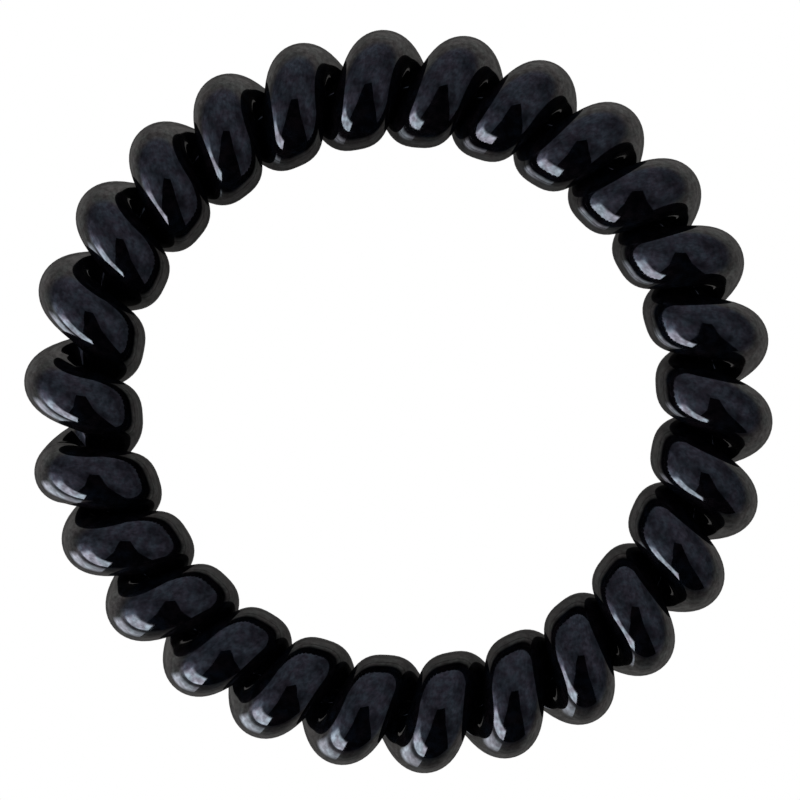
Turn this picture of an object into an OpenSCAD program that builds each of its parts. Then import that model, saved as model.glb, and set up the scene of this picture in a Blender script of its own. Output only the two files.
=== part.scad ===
// Spiral hair tie: one springy cord, wound into a coil like that of a telephone
// cord and closed end to end into a ring. It lies on its side, so hair or a wrist
// goes through it along Z. The origin lies under the ring's centre, on the surface
// that the turns rest on.

/* [Ring] */
// Outer diameter of the ring, measured over the turns of the coil
ring_d = 50; // [40:0.5:70]
// Bearing of the first turn's outermost point, anticlockwise from +X seen from above
first_turn = 10; // [0:0.5:360]
// Share of the used tie's out-of-round shape that is kept: 0 gives an even ring
out_of_round = 1; // [0:0.1:1]

/* [Coil] */
// Outer diameter of the coil, which is also the tie's height as it lies
coil_d = 7.9; // [7.6:0.1:12]
// Least gap between neighbouring turns, on the side of the ring's opening
turn_gap = 0.13; // [0.1:0.01:2]
// Share of a turn by which each turn's top leans back round the ring, its underside ahead
lean = 0.02; // [0:0.005:0.03]

/* [Cord] */
// Thickness of the cord
cord_d = 4.1; // [2.6:0.1:4.3]
// How square the turns press one another towards the opening: 0 leaves them round
press = 0.5; // [0:0.1:1]

/* [Detail] */
// Sections along each turn of the cord, in fours, so that one falls on its underside
sections_per_turn = 16; // [12:4:20]
// Sides of each section
section_sides = 12; // [8:1:12]

/* [Hidden] */

// The whole ring has no more sections than this, however many turns it takes
most_sections = 520;

// The used tie's shape, a row for each place round the ring where it bulges, dips or
// bunches. Swell is a share of the ring's middle radius, and lead, by which the turns
// there run ahead of an even spacing, is a share of one turn. Between 160 and 206
// degrees, where the cord's two ends were joined, the rows lie closest together.
BEARING = 0;
SWELL = 1;
LEAD = 2;
ring_form = [
    [  0,  0.003,  0.000],
    [ 15,  0.005,  0.000],
    [ 50, -0.004,  0.000],
    [ 85, -0.005, -0.014],
    [105, -0.001, -0.022],
    [130,  0.007, -0.042],
    [150,  0.020, -0.060],
    [160,  0.027, -0.068],
    [168,  0.024, -0.035],
    [173,  0.020,  0.060],
    [178,  0.017,  0.050],
    [183,  0.014,  0.010],
    [187,  0.011,  0.165],
    [189,  0.009,  0.175],
    [192,  0.006,  0.085],
    [199, -0.001,  0.055],
    [206, -0.008,  0.045],
    [212, -0.013,  0.035],
    [225, -0.019,  0.045],
    [247, -0.012,  0.034],
    [276,  0.009,  0.055],
    [298,  0.013,  0.052],
    [318,  0.009, -0.003],
    [338,  0.003,  0.008],
    [360,  0.003,  0.000]
];

cord_r = cord_d / 2;
coil_r = coil_d / 2;
// The cord's centre line winds round the coil's axis at this radius
helix_r = coil_r - cord_r;
// The coil's axis runs round the ring at this radius
ring_mid_r = ring_d / 2 - coil_r;

// Neighbouring turns lie this far apart, square to the cord, where they are closest,
// and their lean makes them run steeper there
turn_spacing = cord_d + turn_gap;
steeper = 1 + 2 * PI * lean;
turn_slope = asin(steeper * turn_spacing / (2 * PI * helix_r));
least_pitch = turn_spacing / cos(turn_slope);
turns = floor(2 * PI * (ring_mid_r - helix_r) / least_pitch);

turn_sections = 4 * floor(min(sections_per_turn, most_sections / turns) / 4);
sections = turns * turn_sections;

// A bend this tight leaves less room than cord_r on the cord's inner side
closest_pitch = 2 * PI * (ring_mid_r - helix_r) / turns;
bend_r = helix_r + pow(closest_pitch / (2 * PI), 2) / helix_r;
inward_r = min(cord_r, 0.95 * bend_r);

function unit(v) = v / norm(v);

// Smooth value of one column of the form at a bearing from 0 to 360
function form_row(bearing, row = 0) =
    bearing < ring_form[row + 1][BEARING] || row == len(ring_form) - 2
        ? row
        : form_row(bearing, row + 1);
function form_at(bearing, column) =
    let (
        here = (bearing % 360 + 360) % 360,
        row = form_row(here),
        low = ring_form[row],
        high = ring_form[row + 1],
        share = (here - low[BEARING]) / (high[BEARING] - low[BEARING]),
        ease = share * share * (3 - 2 * share)
    )
    out_of_round * (low[column] + (high[column] - low[column]) * ease);

// Phase runs through 360 degrees a turn: 0 is the turn's outermost point, 90 its top,
// 180 the side of the opening and 270 its underside
function bearing_at(phase) =
    let (even = first_turn + phase / turns)
    even + (form_at(even, LEAD) - lean * sin(phase)) * 360 / turns;
function radius_at(phase) =
    ring_mid_r * (1 + form_at(first_turn + phase / turns, SWELL)) + helix_r * cos(phase);
function centre_at(phase) =
    let (bearing = bearing_at(phase), radius = radius_at(phase))
    [radius * cos(bearing), radius * sin(bearing), coil_r + helix_r * sin(phase)];

// The way out of the coil at a phase, away from the coil's own axis
function outward_at(phase) =
    let (bearing = bearing_at(phase))
    [cos(phase) * cos(bearing), cos(phase) * sin(bearing), sin(phase)];

// A round section has fullness 2, and a higher one is squarer
function fullness_at(phase) = 2 + press * pow((1 - cos(phase)) / 2, 1.5);
function eased(value, fullness) = sign(value) * pow(abs(value), 2 / fullness);

function section_at(phase) =
    let (
        step = 360 / turn_sections,
        centre = centre_at(phase),
        along = unit(centre_at(phase + step) - centre_at(phase - step)),
        outward = outward_at(phase),
        up = unit(outward - (outward * along) * along),
        side = cross(along, up),
        fullness = fullness_at(phase)
    )
    [
        for (k = [0 : section_sides - 1])
            let (
                around = 360 * k / section_sides,
                deep = cos(around) < 0 ? inward_r : cord_r
            )
            centre
                + deep * eased(cos(around), fullness) * up
                + cord_r * eased(sin(around), fullness) * side
    ];

// Index of a point of the closed sweep: section i, side k
function point_index(i, k) = (i % sections) * section_sides + k % section_sides;

module coiled_cord() {
    points = [
        for (i = [0 : sections - 1])
            each section_at(360 * i / turn_sections)
    ];
    faces = [
        for (i = [0 : sections - 1])
            for (k = [0 : section_sides - 1])
                each [
                    [point_index(i, k), point_index(i + 1, k), point_index(i + 1, k + 1)],
                    [point_index(i, k), point_index(i + 1, k + 1), point_index(i, k + 1)]
                ]
    ];
    color([0.03, 0.03, 0.035]) polyhedron(points, faces, convexity = 10);
}

coiled_cord();
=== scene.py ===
"""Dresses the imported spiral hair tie: its glossy coiled cord, floor, light and camera."""

import math

import bpy
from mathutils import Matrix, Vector


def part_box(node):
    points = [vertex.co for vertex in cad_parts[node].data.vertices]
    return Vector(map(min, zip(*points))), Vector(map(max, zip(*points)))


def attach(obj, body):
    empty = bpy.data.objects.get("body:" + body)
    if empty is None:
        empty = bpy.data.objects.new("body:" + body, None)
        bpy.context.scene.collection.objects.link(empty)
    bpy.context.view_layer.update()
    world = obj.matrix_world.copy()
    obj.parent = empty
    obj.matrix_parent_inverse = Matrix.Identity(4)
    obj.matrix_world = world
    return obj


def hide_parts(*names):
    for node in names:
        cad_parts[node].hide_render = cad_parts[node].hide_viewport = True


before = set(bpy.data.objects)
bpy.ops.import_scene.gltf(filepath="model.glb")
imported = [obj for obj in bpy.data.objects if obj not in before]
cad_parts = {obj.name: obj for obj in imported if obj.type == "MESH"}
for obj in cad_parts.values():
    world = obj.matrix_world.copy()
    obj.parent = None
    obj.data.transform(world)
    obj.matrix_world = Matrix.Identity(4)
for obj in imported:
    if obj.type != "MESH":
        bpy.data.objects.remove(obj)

bl_info = {
    "name": "Spiral hair tie",
    "version": (1, 0, 0),
    "blender": (4, 5, 0),
    "location": "View3D > Sidebar > Hair tie",
    "description": "Builds a springy coiled-cord hair tie and the studio that shows it",
    "category": "Object",
}

MM = 0.001
NODE = "coiled_cord"
BODY = "root"
CAD_LOW, CAD_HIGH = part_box(NODE)
WHITE = (1.0, 1.0, 1.0, 1.0)

# What handling has left on the gloss. Each is a soft noise: how many of its swellings lie
# in a metre, how many layers of finer detail they carry, and the strengths of the noise
# at which it starts to show and shows in full.
STAINS = {
    "handling": {"scale": 220, "detail": 3.0, "starts": 0.45, "full": 0.75},
    "smudge_tint": {"scale": 500, "detail": 1.0, "starts": 0.40, "full": 0.60},
    "smudges": {"scale": 1500, "detail": 4.0, "starts": 0.38, "full": 0.66},
    "dust": {"scale": 2200, "detail": 1.5, "starts": 0.30, "full": 0.70},
    "film_tint": {"scale": 1100, "detail": 3.0, "starts": 0.38, "full": 0.62},
}
# The low relief of the moulded surface, as the same kind of noise
RELIEFS = {
    "slow_swell": {"scale": 700, "detail": 2.0, "strength": 0.25, "depth": 0.01 * MM},
    "fine_grain": {"scale": 2400, "detail": 2.0, "strength": 0.12, "depth": 0.004 * MM},
}
# How strong each layer of finer detail is beside the last
FINISH_FINENESS = 0.6
# How strong the gloss is where it is dusty and where it is clear
DUSTY_GLOSS, CLEAR_GLOSS = 0.35, 0.65

# The used tie's shape, a row for each place round the ring where it bulges, dips or
# bunches. Swell is a share of the ring's middle radius, and lead, by which the turns
# there run ahead of an even spacing, is a share of one turn.
BEARING, SWELL, LEAD = 0, 1, 2
RING_FORM = (
    (0, 0.003, 0.000),
    (15, 0.005, 0.000),
    (50, -0.004, 0.000),
    (85, -0.005, -0.014),
    (105, -0.001, -0.022),
    (130, 0.007, -0.042),
    (150, 0.020, -0.060),
    (160, 0.027, -0.068),
    (168, 0.024, -0.035),
    (173, 0.020, 0.060),
    (178, 0.017, 0.050),
    (183, 0.014, 0.010),
    (187, 0.011, 0.165),
    (189, 0.009, 0.175),
    (192, 0.006, 0.085),
    (199, -0.001, 0.055),
    (206, -0.008, 0.045),
    (212, -0.013, 0.035),
    (225, -0.019, 0.045),
    (247, -0.012, 0.034),
    (276, 0.009, 0.055),
    (298, 0.013, 0.052),
    (318, 0.009, -0.003),
    (338, 0.003, 0.008),
    (360, 0.003, 0.000),
)

# Soft patches of light and dark round the tie: where each lies and how wide it is, in
# degrees, and what it adds. Patches with a negative elevation lie on the table.
ROOM_PATCHES = (
    {"bearing": 104, "elevation": 32, "spread": 52, "level": 0.16},
    {"bearing": 100, "elevation": 2, "spread": 34, "level": 0.06},
    {"bearing": 20, "elevation": 62, "spread": 40, "level": 0.10},
    {"bearing": 350, "elevation": 38, "spread": 30, "level": 0.08},
    {"bearing": 195, "elevation": 38, "spread": 30, "level": 0.26},
    {"bearing": 196, "elevation": 8, "spread": 24, "level": 1.20},
    {"bearing": 168, "elevation": 9, "spread": 20, "level": 0.10},
    {"bearing": 28, "elevation": 16, "spread": 36, "level": -0.11},
    {"bearing": 138, "elevation": 9, "spread": 24, "level": -0.12},
    {"bearing": 140, "elevation": 50, "spread": 34, "level": -0.07},
    {"bearing": 318, "elevation": 52, "spread": 24, "level": -0.20},
    {"bearing": 318, "elevation": 20, "spread": 26, "level": -0.08},
    {"bearing": 0, "elevation": 90, "spread": 27, "level": -0.14},
    {"bearing": 70, "elevation": -26, "spread": 40, "level": 0.14},
    {"bearing": 165, "elevation": -38, "spread": 30, "level": 0.10},
    {"bearing": 275, "elevation": -8, "spread": 40, "level": -0.27},
    {"bearing": 345, "elevation": -4, "spread": 30, "level": -0.14},
    {"bearing": 158, "elevation": -8, "spread": 18, "level": -0.12},
)

# The dome turns into the table between these two heights of the way that the gloss looks,
# on a scale from -1 straight down to 1 straight up
DOME_ENDS, TABLE_BEGINS = 0.08, -0.30
# The table is darker the closer it lies to the tie: a row for each fall of its light,
# between two heights on the same scale
TABLE_FALLS = (
    {"from": -0.47, "to": -0.72, "added": -0.15},
    {"from": -0.72, "to": -0.95, "added": -0.18},
)
# Soft noise makes the light patchy, with values like the stains'. The room's scale counts
# swellings in a radian, and the window's in a metre. Least and most are the shares that
# are left of the light.
ROOM_CLOUDS = (
    {"scale": 7, "detail": 5.0, "starts": 0.30, "full": 0.70, "least": 0.70, "most": 1.30},
    {"scale": 34, "detail": 3.0, "starts": 0.30, "full": 0.70, "least": 0.86, "most": 1.14},
)
ROOM_TINT = {"scale": 11, "detail": 3.0, "starts": 0.38, "full": 0.62}
ROOM_FINENESS = 0.65
WINDOW_CLOUDS = {
    "scale": 5,
    "detail": 1.0,
    "starts": 0.35,
    "full": 0.65,
    "least": 0.72,
    "most": 1.12,
}
# Share of the room's light that is left after a second reflection in the cord
SECOND_BOUNCE = 0.27

# The window and its glow on the table. Each reaches between two elevations, and fades
# over some of that height at its low and its high end, all in degrees. Left and right
# are the shares of its light at its two ends.
WINDOW_BANDS = (
    {
        "name": "window",
        "low": -2,
        "high": 27.5,
        "fade_low": 3,
        "fade_high": 7,
        "level": 9.0,
        "left": 0.75,
        "right": 0.95,
    },
    {
        "name": "window_on_table",
        "low": -44,
        "high": -7,
        "fade_low": 16,
        "fade_high": 11,
        "level": 4.8,
        "left": 1.0,
        "right": 0.4,
    },
)

# The window's card stands this far from the tie, in metres, and its light starts, is full
# and ends at these places along the card
WINDOW_DISTANCE = 1.0
WINDOW_LEFT, WINDOW_FULL, WINDOW_RIGHT = -0.53, -0.25, 0.55

# The dark flag is one tapered card at this distance, in metres. A row for each height: how
# far it lies from straight overhead, towards the bottom of the picture, and the flag's
# half width, in degrees
FLAG_DISTANCE = 1.6
FLAG_ROWS = (
    {"down": -10, "half_width": 9},
    {"down": 24, "half_width": 20},
    {"down": 56, "half_width": 31},
    {"down": 92, "half_width": 33},
)
FLAG_COLUMNS = 12

# The low dark wall under the coil, and how much higher it is by the two wide gaps, which
# lie round this bearing, within this spread in degrees
WALL_SIDES = 96
WALL_HEIGHT = 2.6 * MM
WALL_HIGHER = 1.8 * MM
WIDE_GAPS, GAPS_SPREAD = 172, 28

# The floor reaches this far to each side, in metres
FLOOR_REACH = 3.0

# The shaded table inside the ring. Places and widths are shares of its radius, slants run
# from 0 seen square on to 1 seen edge on, and levels are shares of the light.
TABLE_SIDES = 64
COIL_SHADE = {"starts": 0.58, "full": 0.76, "level": 0.66}
DIM_SPOT = {"bearing": 114, "away": 0.66, "starts": 0.62, "full": 0.20, "level": 0.3}
# A thin dark bar, as of a window's frame, runs through what the table shows
BAR = {"slant": 0.47, "half_width": 0.008, "ends": 0.024, "level": 0.25}
# The slants at which the table's own light, and the room's light that it passes on, start
# to show and show in full, and how much of each there is
TABLE_GLOW = {"starts": 0.70, "full": 0.42, "level": 0.16}
TABLE_PASSES = {"starts": 0.72, "full": 0.56, "level": 0.54}

# The camera stands this far to the side of the ring's centre
CAMERA_ASIDE = (-0.050 * MM, -0.009 * MM)


class HairTieSizes(bpy.types.PropertyGroup):
    """Sizes of the coil and its cord"""

    ring_diameter: bpy.props.FloatProperty(
        name="Ring diameter",
        description="Outer diameter of the ring, over the turns of the coil",
        default=50 * MM,
        unit="LENGTH",
    )
    coil_diameter: bpy.props.FloatProperty(
        name="Coil diameter",
        description="Outer diameter of the coil, which is the tie's height as it lies",
        default=CAD_HIGH.z - CAD_LOW.z,
        unit="LENGTH",
    )
    cord_diameter: bpy.props.FloatProperty(
        name="Cord diameter",
        description="Thickness of the cord",
        default=4.1 * MM,
        unit="LENGTH",
    )
    turns: bpy.props.IntProperty(
        name="Turns",
        description="Turns that the cord takes round the ring",
        default=26,
    )
    first_turn: bpy.props.FloatProperty(
        name="First turn",
        description="Bearing of the first turn's outermost point",
        default=math.radians(10),
        subtype="ANGLE",
    )
    lean: bpy.props.FloatProperty(
        name="Lean",
        description="Share of a turn by which each turn's top leans back round the ring",
        default=0.02,
        subtype="FACTOR",
    )
    press: bpy.props.FloatProperty(
        name="Press",
        description="How square the turns press one another towards the opening",
        default=0.5,
    )
    out_of_round: bpy.props.FloatProperty(
        name="Out of round",
        description="Share of the used tie's out-of-round shape that is kept",
        default=1.0,
        subtype="FACTOR",
    )
    sections_per_turn: bpy.props.IntProperty(
        name="Sections per turn",
        description="Sections along each turn of the cord",
        default=72,
    )
    sides: bpy.props.IntProperty(
        name="Sides",
        description="Sides of each section of the cord",
        default=40,
    )
    ripple_depth: bpy.props.FloatProperty(
        name="Ripple depth",
        description="Depth of the slow unevenness that the cord set with",
        default=0.03 * MM,
        unit="LENGTH",
    )
    ripple_length: bpy.props.FloatProperty(
        name="Ripple length",
        description="Distance from one slow swelling of the cord to the next",
        default=3.5 * MM,
        unit="LENGTH",
    )


class HairTieFinish(bpy.types.PropertyGroup):
    """Colour and gloss of the cord"""

    cord_colour: bpy.props.FloatVectorProperty(
        name="Cord colour",
        description="Colour of the elastomer under its gloss",
        default=(0.0010, 0.0010, 0.0013),
        subtype="COLOR",
        size=3,
    )
    gloss_roughness: bpy.props.FloatProperty(
        name="Gloss roughness",
        description="Roughness of the cleanest stretches of the cord",
        default=0.05,
        subtype="FACTOR",
    )
    handled_roughness: bpy.props.FloatProperty(
        name="Handled roughness",
        description="Roughness of the stretches that are dulled by handling",
        default=0.12,
        subtype="FACTOR",
    )
    smudge_warm: bpy.props.FloatVectorProperty(
        name="Warm smudge",
        description="Colour of the thin warm smudges that handling leaves",
        default=(0.0042, 0.0030, 0.0034),
        subtype="COLOR",
        size=3,
    )
    smudge_cool: bpy.props.FloatVectorProperty(
        name="Cool smudge",
        description="Colour of the thin cool smudges that handling leaves",
        default=(0.0026, 0.0036, 0.0050),
        subtype="COLOR",
        size=3,
    )
    film_warm: bpy.props.FloatVectorProperty(
        name="Warm film",
        description="Tint of the gloss where the film of dust and skin oil is warm",
        default=(1.0, 0.91, 0.955),
        subtype="COLOR",
        size=3,
    )
    film_cool: bpy.props.FloatVectorProperty(
        name="Cool film",
        description="Tint of the gloss where the film of dust and skin oil is cool",
        default=(0.87, 0.98, 0.985),
        subtype="COLOR",
        size=3,
    )


class HairTieStudio(bpy.types.PropertyGroup):
    """Light, floor and camera"""

    camera_distance: bpy.props.FloatProperty(
        name="Camera distance",
        description="Height of the camera over the middle of the coil",
        default=350 * MM,
        unit="LENGTH",
    )
    view_width: bpy.props.FloatProperty(
        name="View width",
        description="Width that the camera sees at the middle of the coil",
        default=53.84 * MM,
        unit="LENGTH",
    )
    dome_colour_cool: bpy.props.FloatVectorProperty(
        name="Cool dome colour",
        description="Colour of the coolest patches of the soft light from above",
        default=(0.86, 0.985, 1.30),
        subtype="COLOR",
        size=3,
        max=2.0,
    )
    dome_colour_warm: bpy.props.FloatVectorProperty(
        name="Warm dome colour",
        description="Colour of the warmest patches of the soft light from above",
        default=(0.96, 0.94, 1.27),
        subtype="COLOR",
        size=3,
        max=2.0,
    )
    dome_level: bpy.props.FloatProperty(
        name="Dome level",
        description="Brightness of the soft light from above",
        default=0.315,
    )
    table_colour: bpy.props.FloatVectorProperty(
        name="Table colour",
        description="Colour of the table's soft glow in the cord's gloss",
        default=(1.0, 0.97, 0.94),
        subtype="COLOR",
        size=3,
    )
    table_level: bpy.props.FloatProperty(
        name="Table level",
        description="Brightness of the table's soft glow in the cord's gloss",
        default=0.435,
    )
    window_bearing: bpy.props.FloatProperty(
        name="Window bearing",
        description="Direction of the window's middle, anticlockwise from the picture's right",
        default=math.radians(221),
        subtype="ANGLE",
    )
    window_colour: bpy.props.FloatVectorProperty(
        name="Window colour",
        description="Colour of the window's light",
        default=(0.91, 0.97, 1.12),
        subtype="COLOR",
        size=3,
        max=2.0,
    )


def put(tree, socket, value):
    """Links a socket to an input, or sets the input's own value"""
    if isinstance(value, bpy.types.NodeSocket):
        tree.links.new(value, socket)
    else:
        socket.default_value = value


def add_node(tree, kind, inputs=None, **settings):
    """A new node with its settings made and its named inputs filled"""
    node = tree.nodes.new(kind)
    for name, value in settings.items():
        setattr(node, name, value)
    for name, value in (inputs or {}).items():
        put(tree, node.inputs[name], value)
    return node


def scalar(tree, operation, *values):
    """The output of a Math node"""
    node = add_node(tree, "ShaderNodeMath", operation=operation)
    for socket, value in zip(node.inputs, values):
        put(tree, socket, value)
    return node.outputs["Value"]


def vector(tree, operation, *values):
    """The vector output of a Vector Math node"""
    node = add_node(tree, "ShaderNodeVectorMath", operation=operation)
    for socket, value in zip(node.inputs, values):
        put(tree, socket, value)
    return node.outputs["Vector"]


def scaled(tree, arrow, length):
    """A vector times a number"""
    inputs = {"Vector": arrow, "Scale": length}
    return add_node(tree, "ShaderNodeVectorMath", inputs, operation="SCALE").outputs["Vector"]


def dot(tree, first, second):
    """The dot product of two vectors"""
    node = add_node(tree, "ShaderNodeVectorMath", operation="DOT_PRODUCT")
    put(tree, node.inputs[0], first)
    put(tree, node.inputs[1], second)
    return node.outputs["Value"]


def product(tree, first, *others):
    """The product of two or more values"""
    for other in others:
        first = scalar(tree, "MULTIPLY", first, other)
    return first


def ramp(tree, value, start, end, low=0.0, high=1.0):
    """A smooth change from low to high while a value goes from start to end"""
    node = add_node(
        tree,
        "ShaderNodeMapRange",
        {"Value": value, "From Min": start, "From Max": end, "To Min": low, "To Max": high},
        interpolation_type="SMOOTHSTEP",
    )
    return node.outputs["Result"]


def noise(tree, place, scale, detail, fineness=0.5):
    """The strength of soft noise at a place"""
    inputs = {"Vector": place, "Scale": scale, "Detail": detail, "Roughness": fineness}
    return add_node(tree, "ShaderNodeTexNoise", inputs).outputs["Fac"]


def patches(tree, place, look, fineness=0.5, low=0.0, high=1.0):
    """Soft patches of a noise: low between them, high inside them"""
    strength = noise(tree, place, look["scale"], look["detail"], fineness)
    return ramp(tree, strength, look["starts"], look["full"], low, high)


def empty_material(name):
    """A new material with an empty tree"""
    material = bpy.data.materials.new(name)
    material.use_nodes = True
    material.node_tree.nodes.clear()
    return material, material.node_tree


def finish_tree(tree, shader, kind="ShaderNodeOutputMaterial"):
    """Links a shader's output to the tree's end"""
    tree.links.new(shader, tree.nodes.new(kind).inputs["Surface"])


def direction(bearing, elevation):
    """The unit vector towards a bearing and an elevation, both in degrees"""
    b, e = math.radians(bearing), math.radians(elevation)
    return Vector((math.cos(e) * math.cos(b), math.cos(e) * math.sin(b), math.sin(e)))


def form_at(bearing, column):
    """Smooth value of one column of the ring's form at a bearing in degrees"""
    here = bearing % 360
    row = max(i for i in range(len(RING_FORM) - 1) if RING_FORM[i][BEARING] <= here)
    low, high = RING_FORM[row], RING_FORM[row + 1]
    share = (here - low[BEARING]) / (high[BEARING] - low[BEARING])
    ease = share * share * (3 - 2 * share)
    return low[column] + (high[column] - low[column]) * ease


def coil_axis(sizes):
    """The line that the coil winds round, a closed string of points with their phases"""
    points = sizes.turns * sizes.sections_per_turn
    middle_radius = (sizes.ring_diameter - sizes.coil_diameter) / 2
    places = []
    phases = []
    for i in range(points):
        phase = 360 * i / sizes.sections_per_turn
        even = math.degrees(sizes.first_turn) + phase / sizes.turns
        lead = sizes.out_of_round * form_at(even, LEAD)
        lead -= sizes.lean * math.sin(math.radians(phase))
        swell = sizes.out_of_round * form_at(even, SWELL)
        bearing = math.radians(even + lead * 360 / sizes.turns)
        radius = middle_radius * (1 + swell)
        x, y = radius * math.cos(bearing), radius * math.sin(bearing)
        places.append((x, y, sizes.coil_diameter / 2))
        phases.append(math.radians(phase))
    mesh = bpy.data.meshes.new("coil_axis")
    mesh.from_pydata(places, [(i, (i + 1) % points) for i in range(points)], [])
    mesh.attributes.new("phase", "FLOAT", "POINT").data.foreach_set("value", phases)
    return mesh


def winding_tree():
    """Geometry Nodes that wind a cord round a closed line, section by section"""
    tree = bpy.data.node_groups.new("Wind a cord round a line", "GeometryNodeTree")
    for name, kind in (
        ("Line", "NodeSocketGeometry"),
        ("Helix radius", "NodeSocketFloat"),
        ("Cord radius", "NodeSocketFloat"),
        ("Press", "NodeSocketFloat"),
        ("Sides", "NodeSocketInt"),
        ("Ripple depth", "NodeSocketFloat"),
        ("Ripple length", "NodeSocketFloat"),
        ("Material", "NodeSocketMaterial"),
    ):
        tree.interface.new_socket(name, in_out="INPUT", socket_type=kind)
    tree.interface.new_socket("Cord", in_out="OUTPUT", socket_type="NodeSocketGeometry")
    given = tree.nodes.new("NodeGroupInput").outputs

    def captured(geometry, values):
        """Keeps values on each point of a curve, to be read after the curve has changed"""
        inputs = {"Geometry": geometry}
        node = add_node(tree, "GeometryNodeCaptureAttribute", inputs, domain="POINT")
        for name, kind, value in values:
            node.capture_items.new(kind, name)
            put(tree, node.inputs[name], value)
        return node.outputs

    # The way out of the coil at each phase, away from its axis
    named = add_node(
        tree, "GeometryNodeInputNamedAttribute", {"Name": "phase"}, data_type="FLOAT"
    )
    phase = named.outputs["Attribute"]
    place = tree.nodes.new("GeometryNodeInputPosition").outputs["Position"]
    away = vector(tree, "NORMALIZE", vector(tree, "MULTIPLY", place, (1, 1, 0)))
    outward = vector(
        tree,
        "ADD",
        scaled(tree, away, scalar(tree, "COSINE", phase)),
        scaled(tree, (0, 0, 1), scalar(tree, "SINE", phase)),
    )

    # The line becomes the cord's centre line
    line = add_node(tree, "GeometryNodeMeshToCurve", {"Mesh": given["Line"]})
    keep = captured(
        line.outputs["Curve"], (("Outward", "VECTOR", outward), ("Phase", "FLOAT", phase))
    )
    offset = scaled(tree, keep["Outward"], given["Helix radius"])
    helix = add_node(
        tree, "GeometryNodeSetPosition", {"Geometry": keep["Geometry"], "Offset": offset}
    )

    # Each section's own directions: up is out of the coil, side lies along its surface
    along = tree.nodes.new("GeometryNodeInputTangent").outputs["Tangent"]
    leaning = scaled(tree, along, dot(tree, keep["Outward"], along))
    up = vector(tree, "NORMALIZE", vector(tree, "SUBTRACT", keep["Outward"], leaning))
    side = vector(tree, "CROSS_PRODUCT", along, up)
    rail = captured(
        helix.outputs["Geometry"],
        (("Centre", "VECTOR", place), ("Up", "VECTOR", up), ("Side", "VECTOR", side)),
    )

    # The section is a ring of points, each with its own angle
    ring = add_node(
        tree,
        "GeometryNodeCurvePrimitiveCircle",
        {"Resolution": given["Sides"], "Radius": given["Cord radius"]},
        mode="RADIUS",
    )
    index = tree.nodes.new("GeometryNodeInputIndex").outputs["Index"]
    around = scalar(tree, "MULTIPLY", scalar(tree, "DIVIDE", index, given["Sides"]), math.tau)
    section = captured(ring.outputs["Curve"], (("Around", "FLOAT", around),))
    swept = add_node(
        tree,
        "GeometryNodeCurveToMesh",
        {"Curve": rail["Geometry"], "Profile Curve": section["Geometry"]},
    )

    # A round section has fullness 2, and a higher one is squarer
    inwards = scalar(tree, "SUBTRACT", 1.0, scalar(tree, "COSINE", keep["Phase"]))
    inner_share = scalar(tree, "MULTIPLY", inwards, 0.5)
    squarer = scalar(tree, "MULTIPLY", given["Press"], scalar(tree, "POWER", inner_share, 1.5))
    fullness = scalar(tree, "ADD", 2.0, squarer)
    power = scalar(tree, "DIVIDE", 2.0, fullness)

    def eased(value):
        size = scalar(tree, "POWER", scalar(tree, "ABSOLUTE", value), power)
        return scalar(tree, "MULTIPLY", scalar(tree, "SIGN", value), size)

    # The slow unevenness that the cord set with
    in_ripples = vector(tree, "DIVIDE", rail["Centre"], given["Ripple length"])
    uneven = noise(tree, in_ripples, 1.0, 1.0)
    ripple = scalar(
        tree, "MULTIPLY", scalar(tree, "SUBTRACT", uneven, 0.5), given["Ripple depth"]
    )
    radius = scalar(tree, "ADD", given["Cord radius"], ripple)
    across = vector(
        tree,
        "ADD",
        scaled(tree, rail["Up"], eased(scalar(tree, "COSINE", section["Around"]))),
        scaled(tree, rail["Side"], eased(scalar(tree, "SINE", section["Around"]))),
    )
    shaped = add_node(
        tree,
        "GeometryNodeSetPosition",
        {
            "Geometry": swept.outputs["Mesh"],
            "Position": vector(tree, "ADD", rail["Centre"], scaled(tree, across, radius)),
        },
    )
    cord = shaped.outputs["Geometry"]
    for kind, inputs in (
        ("GeometryNodeSetShadeSmooth", {}),
        ("GeometryNodeRealizeInstances", {}),
        ("GeometryNodeSetMaterial", {"Material": given["Material"]}),
    ):
        cord = add_node(tree, kind, {"Geometry": cord, **inputs}).outputs["Geometry"]
    put(tree, tree.nodes.new("NodeGroupOutput").inputs["Cord"], cord)
    return tree


def fill_modifier(modifier, tree, values):
    """Sets a Geometry Nodes modifier's inputs, each by its socket's identifier"""
    for item in tree.interface.items_tree:
        if item.item_type == "SOCKET" and item.in_out == "INPUT" and item.name in values:
            modifier[item.identifier] = values[item.name]


def as_plain_mesh(piece):
    """The piece with its modifiers' result as its own mesh, and no modifiers"""
    graph = bpy.context.evaluated_depsgraph_get()
    mesh = bpy.data.meshes.new_from_object(piece.evaluated_get(graph), depsgraph=graph)
    mesh.name = piece.name
    piece.modifiers.clear()
    piece.data = mesh
    return piece


def mixed_colour(tree, share, first, second):
    """The colour output of a node that mixes two colours"""
    node = add_node(tree, "ShaderNodeMix", data_type="RGBA")
    inputs = {socket.identifier: socket for socket in node.inputs}
    put(tree, inputs["Factor_Float"], share)
    for name, colour in (("A_Color", first), ("B_Color", second)):
        linked = isinstance(colour, bpy.types.NodeSocket)
        put(tree, inputs[name], colour if linked else (*colour, 1.0))
    return next(socket for socket in node.outputs if socket.identifier == "Result_Color")


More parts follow.
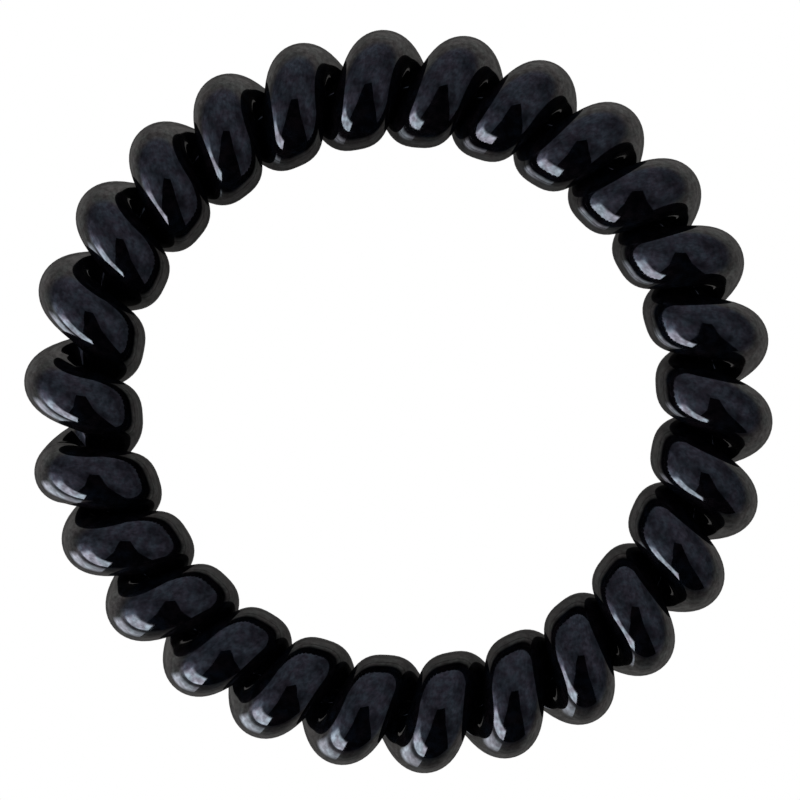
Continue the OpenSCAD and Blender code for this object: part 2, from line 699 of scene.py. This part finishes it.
def black_gloss(finish):
    """Near-black moulded elastomer with a wet-looking gloss, smudged and dulled by handling"""
    material, tree = empty_material("black_elastomer_gloss")
    place = tree.nodes.new("ShaderNodeTexCoord").outputs["Object"]

    def stain(name, low=0.0, high=1.0):
        return patches(tree, place, STAINS[name], FINISH_FINENESS, low, high)

    def relief(name, **over):
        look = RELIEFS[name]
        height = noise(tree, place, look["scale"], look["detail"], FINISH_FINENESS)
        inputs = {"Height": height, "Strength": look["strength"], "Distance": look["depth"]}
        return add_node(tree, "ShaderNodeBump", {**inputs, **over}).outputs["Normal"]

    # Handling dulls some stretches and leaves thin smudges, some warm and some cool
    dulled = stain("handling", finish.gloss_roughness, finish.handled_roughness)
    smudge = mixed_colour(tree, stain("smudge_tint"), finish.smudge_warm, finish.smudge_cool)
    colour = mixed_colour(tree, stain("smudges"), finish.cord_colour, smudge)

    # Dust and skin oil leave the gloss a little uneven, in strength and in colour
    glossiness = stain("dust", DUSTY_GLOSS, CLEAR_GLOSS)
    film = mixed_colour(tree, stain("film_tint"), finish.film_warm, finish.film_cool)
    shader = add_node(
        tree,
        "ShaderNodeBsdfPrincipled",
        {
            "Base Color": colour,
            "Roughness": dulled,
            "IOR": 1.5,
            "Specular IOR Level": glossiness,
            "Specular Tint": film,
            "Normal": relief("fine_grain", Normal=relief("slow_swell")),
        },
    )
    finish_tree(tree, shader.outputs["BSDF"])
    return material


class HAIRTIE_OT_coiled_cord(bpy.types.Operator):
    """Winds the cord round the ring and gives it its black gloss"""

    bl_idname = "hairtie.coiled_cord"
    bl_label = "Coiled cord"

    def execute(self, context):
        sizes = context.scene.hairtie_sizes
        tree = winding_tree()
        cord = bpy.data.objects.new("coiled_cord_wound", coil_axis(sizes))
        context.scene.collection.objects.link(cord)
        winding = cord.modifiers.new("Winding", "NODES")
        winding.node_group = tree
        cord_radius = sizes.cord_diameter / 2
        fill_modifier(
            winding,
            tree,
            {
                "Helix radius": sizes.coil_diameter / 2 - cord_radius,
                "Cord radius": cord_radius,
                "Press": sizes.press,
                "Sides": sizes.sides,
                "Ripple depth": sizes.ripple_depth,
                "Ripple length": sizes.ripple_length,
                "Material": black_gloss(context.scene.hairtie_finish),
            },
        )
        as_plain_mesh(cord)
        if len(cord.data.polygons) != sizes.turns * sizes.sections_per_turn * sizes.sides:
            raise RuntimeError("the winding didn't give one closed cord")
        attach(cord, BODY)
        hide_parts(NODE)
        return {"FINISHED"}


def add_object(name, data):
    """A new object in the scene"""
    thing = bpy.data.objects.new(name, data)
    bpy.context.scene.collection.objects.link(thing)
    return thing


def room(studio):
    """The world: a soft bluish dome over a soft table in the gloss, plain white to the camera"""
    world = bpy.data.worlds.new("soft_room")
    bpy.context.scene.world = world
    world.use_nodes = True
    tree = world.node_tree
    tree.nodes.clear()
    way = tree.nodes.new("ShaderNodeTexCoord").outputs["Generated"]
    height = add_node(tree, "ShaderNodeSeparateXYZ", {"Vector": way}).outputs["Z"]
    below = ramp(tree, height, DOME_ENDS, TABLE_BEGINS)
    table_level = studio.table_level
    for fall in TABLE_FALLS:
        darker = ramp(tree, height, fall["from"], fall["to"], 0.0, fall["added"])
        table_level = scalar(tree, "ADD", table_level, darker)
    added = 0.0
    for patch in ROOM_PATCHES:
        toward = dot(tree, way, tuple(direction(patch["bearing"], patch["elevation"])))
        edge = math.cos(math.radians(patch["spread"]))
        added = scalar(tree, "ADD", added, ramp(tree, toward, edge, 1.0, 0.0, patch["level"]))

    # Light that reaches the creases by way of the cord is kept low, so that they stay dark.
    # The world counts the cord's first reflection as 2 and its second as 3
    rays = tree.nodes.new("ShaderNodeLightPath").outputs
    shade = ramp(tree, rays["Ray Depth"], 2.0, 3.0, 1.0, SECOND_BOUNCE)
    for clouds in ROOM_CLOUDS:
        patchy = patches(tree, way, clouds, ROOM_FINENESS, clouds["least"], clouds["most"])
        shade = product(tree, shade, patchy)
    warmer = patches(tree, way, ROOM_TINT, ROOM_FINENESS)
    dome_tint = mixed_colour(tree, warmer, studio.dome_colour_cool, studio.dome_colour_warm)
    lights = []
    for colour, level in (
        (dome_tint, studio.dome_level),
        ((*studio.table_colour, 1.0), table_level),
    ):
        strength = product(tree, scalar(tree, "ADD", added, level), shade)
        light = add_node(tree, "ShaderNodeBackground", {"Color": colour, "Strength": strength})
        lights.append(light.outputs["Background"])
    inside = add_node(tree, "ShaderNodeMixShader", {"Fac": below})
    tree.links.new(lights[0], inside.inputs[1])
    tree.links.new(lights[1], inside.inputs[2])
    plain = add_node(tree, "ShaderNodeBackground", {"Color": WHITE, "Strength": 1.0})
    mixed = add_node(tree, "ShaderNodeMixShader", {"Fac": rays["Is Camera Ray"]})
    tree.links.new(inside.outputs["Shader"], mixed.inputs[1])
    tree.links.new(plain.outputs["Background"], mixed.inputs[2])
    finish_tree(tree, mixed.outputs["Shader"], "ShaderNodeOutputWorld")


def added_light(tree, colour, strength, tint=WHITE):
    """The output of a see-through shader that adds its own light to what lies behind it"""
    glow = add_node(
        tree, "ShaderNodeEmission", {"Color": (*colour, 1.0), "Strength": strength}
    )
    clear = add_node(tree, "ShaderNodeBsdfTransparent", {"Color": tint})
    both = tree.nodes.new("ShaderNodeAddShader")
    tree.links.new(glow.outputs["Emission"], both.inputs[0])
    tree.links.new(clear.outputs["BSDF"], both.inputs[1])
    return both.outputs["Shader"]


def window_light(studio, band):
    """A wide bright card at the lower left of the picture, soft along its edges"""
    low, high, full_low, full_high = (
        WINDOW_DISTANCE * math.tan(math.radians(elevation))
        for elevation in (
            band["low"],
            band["high"],
            band["low"] + band["fade_low"],
            band["high"] - band["fade_high"],
        )
    )
    mesh = bpy.data.meshes.new(band["name"])
    corners = [
        (WINDOW_LEFT, low, 0),
        (WINDOW_RIGHT, low, 0),
        (WINDOW_RIGHT, high, 0),
        (WINDOW_LEFT, high, 0),
    ]
    mesh.from_pydata(corners, [], [(0, 1, 2, 3)])
    material, tree = empty_material("daylight")
    place = tree.nodes.new("ShaderNodeTexCoord").outputs["Object"]
    along = add_node(tree, "ShaderNodeSeparateXYZ", {"Vector": place}).outputs
    least, most = WINDOW_CLOUDS["least"], WINDOW_CLOUDS["most"]
    # Only the cord's first reflection, which a card counts as 1, shows the window, so the
    # creases stay dark
    bounce = tree.nodes.new("ShaderNodeLightPath").outputs["Ray Depth"]
    strength = product(
        tree,
        ramp(tree, along["X"], WINDOW_LEFT, WINDOW_FULL),
        ramp(tree, along["X"], WINDOW_FULL, WINDOW_RIGHT, band["left"], band["right"]),
        ramp(tree, along["Y"], high, full_high),
        ramp(tree, along["Y"], low, full_low),
        patches(tree, place, WINDOW_CLOUDS, low=least, high=most),
        scalar(tree, "LESS_THAN", bounce, 1.5),
        band["level"],
    )
    finish_tree(tree, added_light(tree, studio.window_colour, strength))
    mesh.materials.append(material)
    window = add_object(band["name"], mesh)
    bearing = studio.window_bearing
    window.location = (
        WINDOW_DISTANCE * math.cos(bearing),
        WINDOW_DISTANCE * math.sin(bearing),
        0,
    )
    window.rotation_euler = (math.radians(90), 0, bearing - math.radians(270))
    window.visible_camera = False


def black_cloth():
    """Matt black cloth for the flag and the shade"""
    material = bpy.data.materials.new("black_cloth")
    material.use_nodes = True
    shader = material.node_tree.nodes["Principled BSDF"]
    shader.inputs["Base Color"].default_value = (0.02, 0.02, 0.03, 1.0)
    shader.inputs["Roughness"].default_value = 1.0
    shader.inputs["Specular IOR Level"].default_value = 0.0
    return material


def dark_flag(cloth):
    """A tapered dark card below the picture, from overhead down to the table"""
    points = []
    for row in FLAG_ROWS:
        down = math.radians(row["down"])
        for i in range(FLAG_COLUMNS + 1):
            aside = math.radians(row["half_width"]) * (2 * i / FLAG_COLUMNS - 1)
            ahead = FLAG_DISTANCE * math.cos(aside)
            points.append(
                (
                    FLAG_DISTANCE * math.sin(aside),
                    -ahead * math.sin(down),
                    ahead * math.cos(down),
                )
            )
    wide = FLAG_COLUMNS + 1
    faces = [
        (r * wide + i, r * wide + i + 1, (r + 1) * wide + i + 1, (r + 1) * wide + i)
        for r in range(len(FLAG_ROWS) - 1)
        for i in range(FLAG_COLUMNS)
    ]
    mesh = bpy.data.meshes.new("dark_flag")
    mesh.from_pydata(points, [], faces)
    mesh.materials.append(cloth)
    flag = add_object("dark_flag", mesh)
    flag.visible_camera = False


def contact_shade(cloth, radius):
    """A low dark wall under the coil, which keeps light from coming in under the turns"""
    points = []
    for share in (0.0, 1.0):
        for i in range(WALL_SIDES):
            turn = math.tau * i / WALL_SIDES
            bearing = math.degrees(turn)
            by_gaps = max(0.0, 1 - ((bearing - WIDE_GAPS) / GAPS_SPREAD) ** 2)
            reach = radius * (1 + form_at(bearing, SWELL))
            top = CAD_LOW.z + share * (WALL_HEIGHT + by_gaps * WALL_HIGHER)
            points.append((reach * math.cos(turn), reach * math.sin(turn), top))
    faces = []
    for i in range(WALL_SIDES):
        after = (i + 1) % WALL_SIDES
        faces.append((i, after, WALL_SIDES + after, WALL_SIDES + i))
    mesh = bpy.data.meshes.new("contact_shade")
    mesh.from_pydata(points, [], faces)
    mesh.materials.append(cloth)
    shade = add_object("contact_shade", mesh)
    shade.visible_camera = False


def pale_floor():
    """The plain white floor that the camera sees, which sends nothing into the cord's gloss"""
    mesh = bpy.data.meshes.new("pale_floor")
    corners = [
        (FLOOR_REACH * x, FLOOR_REACH * y, 0) for x, y in ((-1, -1), (1, -1), (1, 1), (-1, 1))
    ]
    mesh.from_pydata(corners, [], [(0, 1, 2, 3)])
    material, tree = empty_material("pale_floor")
    plain = add_node(tree, "ShaderNodeEmission", {"Color": WHITE, "Strength": 1.0})
    finish_tree(tree, plain.outputs["Emission"])
    mesh.materials.append(material)
    floor = add_object("pale_floor", mesh)
    floor.location.z = CAD_LOW.z
    for kind in ("glossy", "diffuse", "transmission", "volume_scatter", "shadow"):
        setattr(floor, "visible_" + kind, False)


def shaded_table(studio, radius):
    """The table inside the ring, black at a slant, where it mirrors the far side of the coil"""
    mesh = bpy.data.meshes.new("shaded_table")
    turns = [math.tau * i / TABLE_SIDES for i in range(TABLE_SIDES)]
    rim = [(radius * math.cos(turn), radius * math.sin(turn), CAD_LOW.z) for turn in turns]
    mesh.from_pydata(rim, [], [tuple(range(TABLE_SIDES))])
    material, tree = empty_material("shaded_table")
    place = tree.nodes.new("ShaderNodeTexCoord").outputs["Object"]

    def distance_from(point):
        node = add_node(tree, "ShaderNodeVectorMath", operation="DISTANCE")
        put(tree, node.inputs[0], place)
        put(tree, node.inputs[1], tuple(point))
        return node.outputs["Value"]

    def dimmed(point, shade):
        """Full light up to where a shade starts, and the shade's level where it is full"""
        start, full = shade["starts"] * radius, shade["full"] * radius
        return ramp(tree, distance_from(point), start, full, 1.0, shade["level"])

    # Dim close to the coil, which shades it, and in one soft patch at the picture's upper left
    by_coil = dimmed(Vector((0, 0, 0)), COIL_SHADE)
    in_spot = dimmed(direction(DIM_SPOT["bearing"], 0) * DIM_SPOT["away"] * radius, DIM_SPOT)
    slant = add_node(tree, "ShaderNodeLayerWeight", {"Blend": 0.5}).outputs["Facing"]
    off_bar = scalar(tree, "ABSOLUTE", scalar(tree, "SUBTRACT", slant, BAR["slant"]))
    bar = ramp(tree, off_bar, BAR["half_width"], BAR["ends"], BAR["level"], 1.0)
    glow_shows = ramp(tree, slant, TABLE_GLOW["starts"], TABLE_GLOW["full"])
    glow_level = studio.table_level * TABLE_GLOW["level"]
    glow = product(tree, glow_shows, by_coil, in_spot, glow_level)
    room_shows = ramp(tree, slant, TABLE_PASSES["starts"], TABLE_PASSES["full"])
    passed = product(tree, room_shows, bar, by_coil, TABLE_PASSES["level"])
    tint = add_node(
        tree, "ShaderNodeCombineColor", {"Red": passed, "Green": passed, "Blue": passed}
    )
    finish_tree(tree, added_light(tree, studio.table_colour, glow, tint.outputs["Color"]))
    mesh.materials.append(material)
    table = add_object("shaded_table", mesh)
    table.visible_camera = False


def camera(studio):
    """A camera straight above the ring, as in the photograph"""
    data = bpy.data.cameras.new("camera")
    data.sensor_width = 36.0
    data.lens = data.sensor_width * studio.camera_distance / studio.view_width
    data.clip_start = 0.01
    data.clip_end = 10.0
    eye = add_object("camera", data)
    middle = (CAD_LOW.z + CAD_HIGH.z) / 2
    eye.location = (*CAMERA_ASIDE, middle + studio.camera_distance)
    bpy.context.scene.camera = eye


class HAIRTIE_OT_studio(bpy.types.Operator):
    """Sets the floor, the light and the camera"""

    bl_idname = "hairtie.studio"
    bl_label = "Studio"

    def execute(self, context):
        studio = context.scene.hairtie_studio
        sizes = context.scene.hairtie_sizes
        middle_radius = (sizes.ring_diameter - sizes.coil_diameter) / 2
        camera(studio)
        pale_floor()
        shaded_table(studio, middle_radius)
        room(studio)
        for band in WINDOW_BANDS:
            window_light(studio, band)
        cloth = black_cloth()
        dark_flag(cloth)
        contact_shade(cloth, middle_radius)
        context.scene.view_settings.view_transform = "Standard"
        return {"FINISHED"}


class HAIRTIE_PT_panel(bpy.types.Panel):
    """Sizes, finish and studio of the hair tie"""

    bl_idname = "HAIRTIE_PT_panel"
    bl_label = "Hair tie"
    bl_space_type = "VIEW_3D"
    bl_region_type = "UI"
    bl_category = "Hair tie"

    def draw(self, context):
        scene = context.scene
        for group in (scene.hairtie_sizes, scene.hairtie_finish, scene.hairtie_studio):
            box = self.layout.box()
            for name in group.__annotations__:
                box.prop(group, name)
        self.layout.operator(HAIRTIE_OT_coiled_cord.bl_idname)
        self.layout.operator(HAIRTIE_OT_studio.bl_idname)


CLASSES = (
    HairTieSizes,
    HairTieFinish,
    HairTieStudio,
    HAIRTIE_OT_coiled_cord,
    HAIRTIE_OT_studio,
    HAIRTIE_PT_panel,
)


def register():
    for kind in CLASSES:
        bpy.utils.register_class(kind)
    bpy.types.Scene.hairtie_sizes = bpy.props.PointerProperty(type=HairTieSizes)
    bpy.types.Scene.hairtie_finish = bpy.props.PointerProperty(type=HairTieFinish)
    bpy.types.Scene.hairtie_studio = bpy.props.PointerProperty(type=HairTieStudio)


def unregister():
    del bpy.types.Scene.hairtie_studio
    del bpy.types.Scene.hairtie_finish
    del bpy.types.Scene.hairtie_sizes
    for kind in reversed(CLASSES):
        bpy.utils.unregister_class(kind)


def main():
    """Registers the add-on, then builds the studio and the coiled cord"""
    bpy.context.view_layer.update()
    register()
    bpy.ops.hairtie.studio()
    bpy.ops.hairtie.coiled_cord()


if __name__ == "__main__":
    main()
